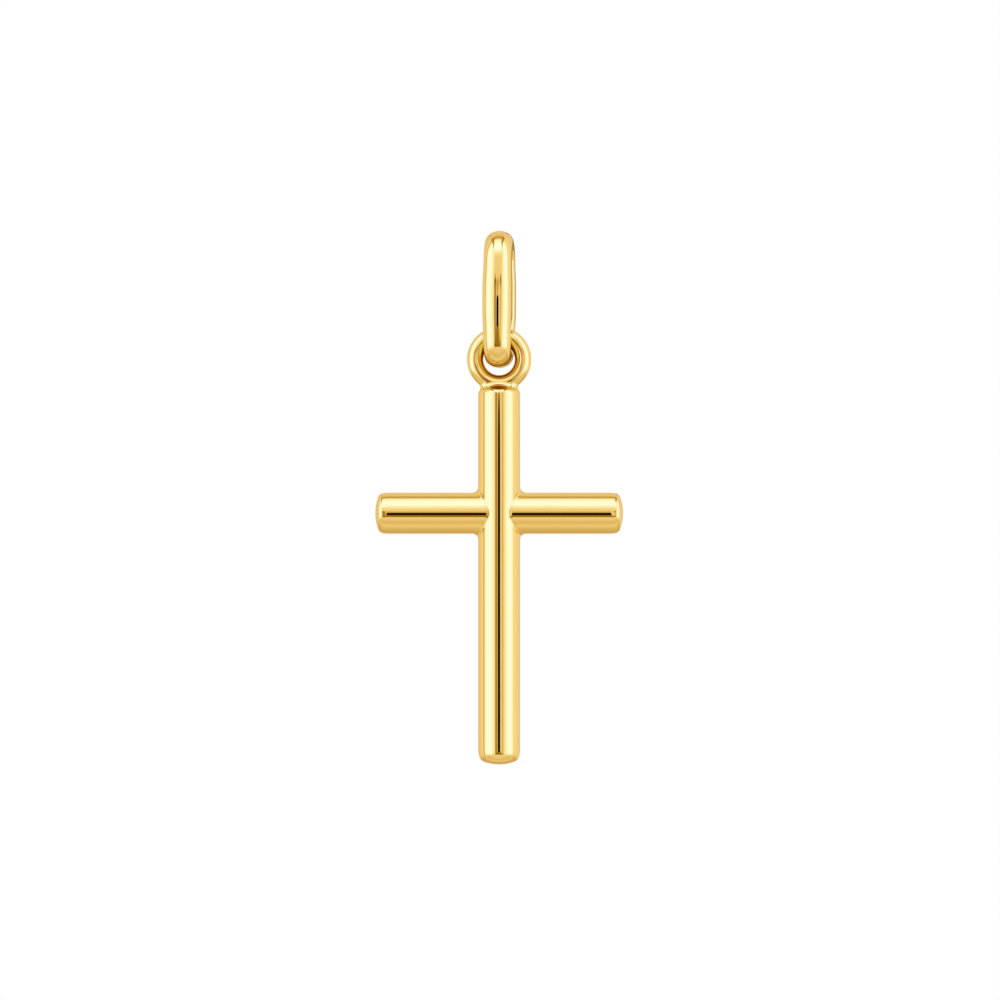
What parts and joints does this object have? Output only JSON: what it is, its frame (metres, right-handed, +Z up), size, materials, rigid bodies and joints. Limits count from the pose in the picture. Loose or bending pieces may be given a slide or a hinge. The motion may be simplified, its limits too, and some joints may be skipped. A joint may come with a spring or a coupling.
{
  "type": "cross pendant on a bail",
  "caption": "Polished yellow gold tube cross with domed ends, a soldered ring eye and a thick oval bail for a necklace chain.",
  "frame": {"origin": "top of the bail's inside, where the chain or cord that carries the pendant lies", "axes": "+Z up along the hanging cross, the front of the cross faces -Y, +X to the viewer's right"},
  "size_m": [0.0148, 0.0042, 0.0317],
  "materials": {
    "gold": "mirror-polished yellow gold",
    "bail_gold": "mirror-polished yellow gold, the wire of the bail"
  },
  "bodies": {
    "bail": {"bail": "bail_gold"},
    "cross": {"cross": "gold"}
  },
  "joints": [
    {"name": "cross_swing", "type": "hinge", "parent": "bail", "child": "cross", "pos_m": [0, 0, -0.00493], "axis": [0.9959, -0.0906, 0], "range_deg": [-90, 90]}
  ]
}
